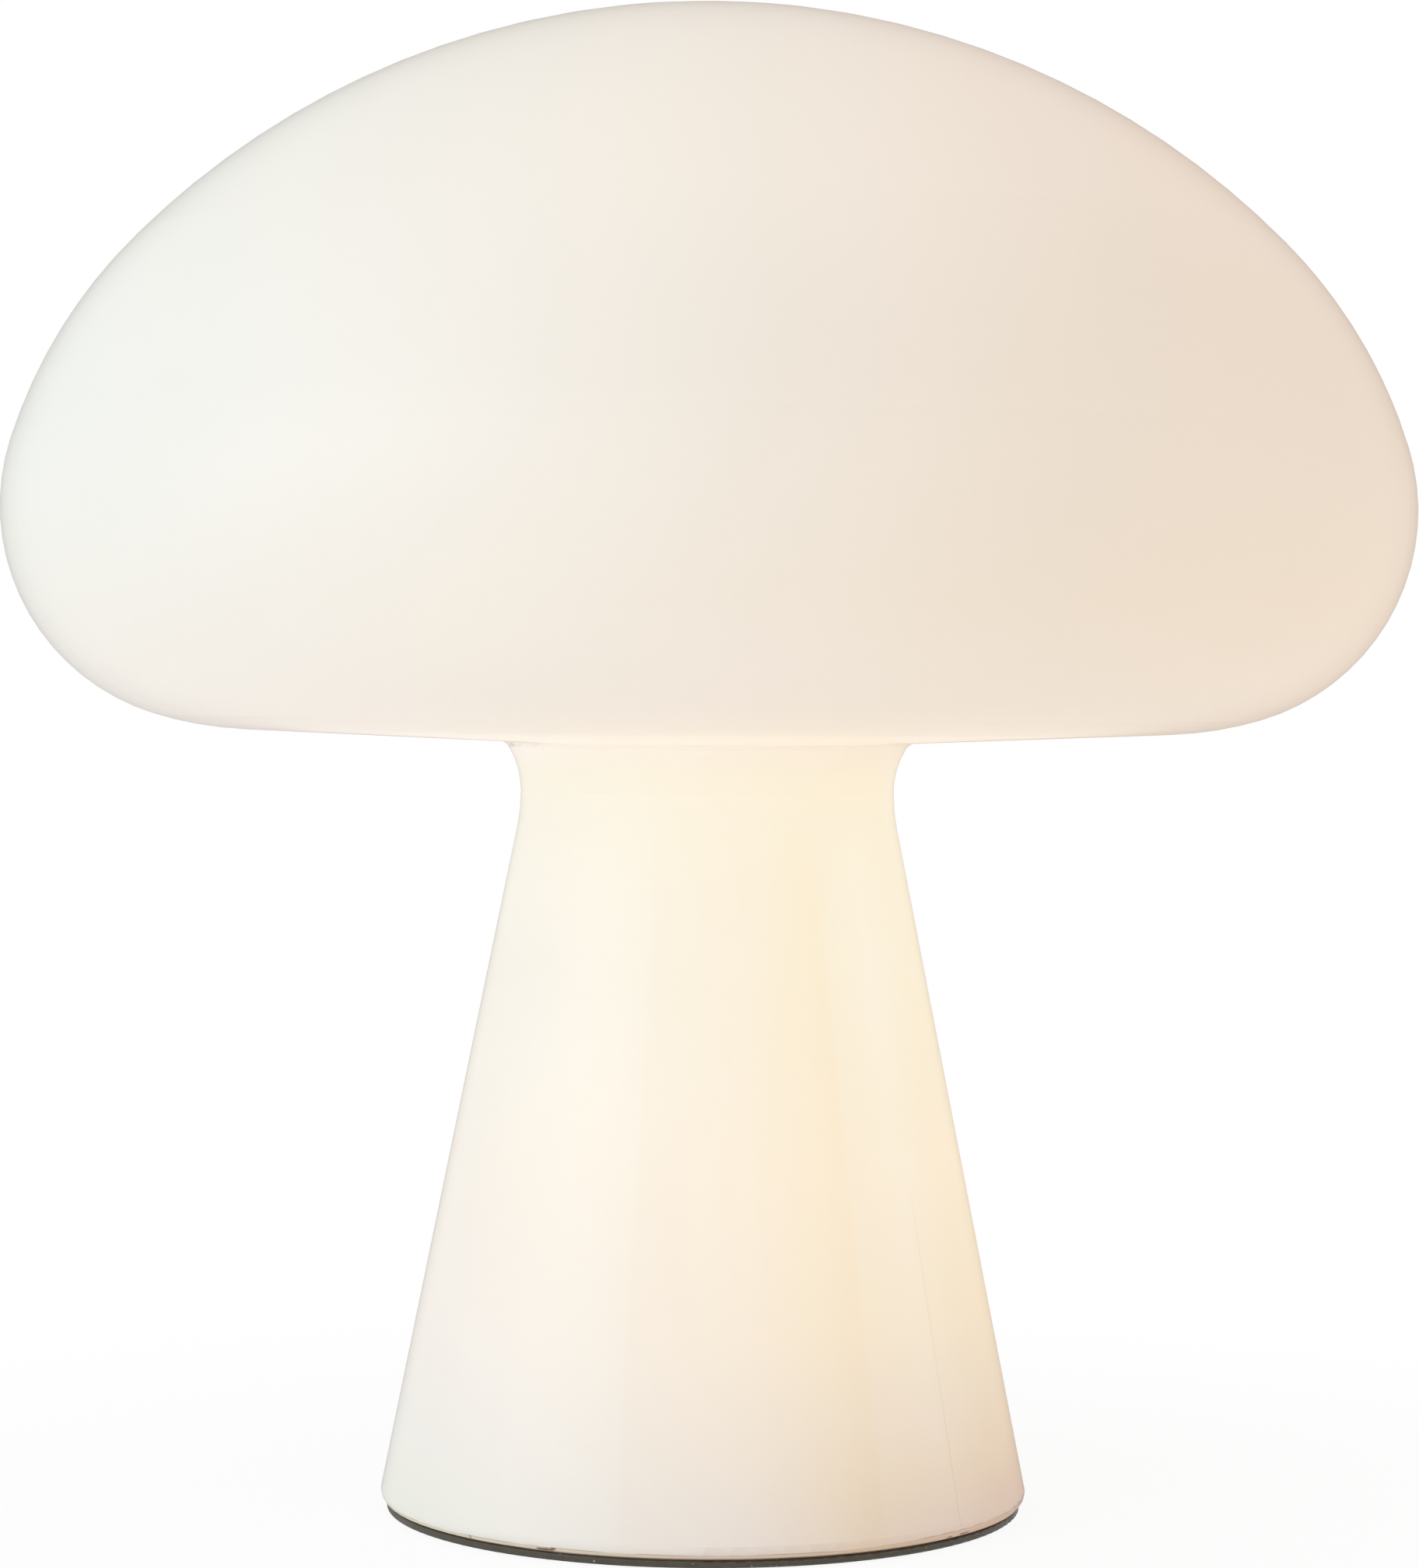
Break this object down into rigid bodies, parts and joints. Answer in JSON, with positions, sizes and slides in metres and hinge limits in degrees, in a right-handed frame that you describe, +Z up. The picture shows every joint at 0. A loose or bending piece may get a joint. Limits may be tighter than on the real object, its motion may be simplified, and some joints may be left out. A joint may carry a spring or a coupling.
{
  "type": "mushroom table lamp",
  "caption": "Cordless mushroom table lamp: a one-piece opal glass cap and flared stem over a rechargeable light unit, with a push button and a charging port underneath.",
  "frame": {"origin": "middle of the foot, on the surface that the lamp stands on", "axes": "+Z up through the apex of the cap, +Y towards the charging port, -Y the side seen in the picture"},
  "size_m": [0.2338, 0.2337, 0.25],
  "materials": {
    "opal_glass": "satin, etched outside",
    "clear_silicone": "translucent",
    "textured_dark_paint": "fine textured powder coat",
    "dark_silicone": "matte",
    "zinc_steel": "zinc plated",
    "white_housing_plastic": "fine matte",
    "button_metal": "satin",
    "black_plastic": "matte",
    "spring_steel": "drawn wire",
    "port_steel": "plated",
    "clear_plastic": "clear",
    "board_green": "solder mask",
    "brass_posts": "turned",
    "component_black": "moulded",
    "connector_ivory": "moulded",
    "cell_wrap": "shrink wrap",
    "spacer_grey": "moulded",
    "nickel_strip": "nickel",
    "milled_aluminium": "milled",
    "board_white": "solder mask",
    "light_chip": "phosphor",
    "frosted_plastic": "frosted",
    "white_wire": "matte",
    "red_wire": "matte"
  },
  "bodies": {
    "lamp": {"glass_body": "opal_glass", "glass_gasket": "clear_silicone", "base_plate": "textured_dark_paint", "foot_pad": "dark_silicone", "clamp_claws": "zinc_steel", "claw_pads": "dark_silicone", "clamp_screws": "zinc_steel", "unit_housing": "white_housing_plastic", "housing_screws": "zinc_steel", "button_spring": "spring_steel", "push_switch": "black_plastic", "charging_port": "port_steel", "indicator_light_pipe": "clear_plastic", "control_board": "board_green", "board_standoffs": "brass_posts", "board_screws": "zinc_steel", "board_components": "component_black", "wire_connectors": "connector_ivory", "battery_cells": "cell_wrap", "lower_cell_spacer": "spacer_grey", "upper_cell_spacer": "spacer_grey", "cell_tabs": "nickel_strip", "led_post": "milled_aluminium", "post_screws": "zinc_steel", "led_side_boards": "board_white", "led_top_board": "board_white", "led_chips": "light_chip", "diffuser_dome": "frosted_plastic", "led_lead": "white_wire", "battery_lead": "red_wire", "lead_grommet": "dark_silicone"},
    "button": {"push_button": "button_metal", "switch_plunger": "black_plastic"}
  },
  "joints": [
    {"name": "button_press", "type": "slide", "parent": "lamp", "child": "button", "axis": [0, 0, 1], "range_m": [0, 0.0012], "stiffness_N_per_m": 900, "springref_m": -0.0015, "deforming": ["button_spring"]}
  ]
}
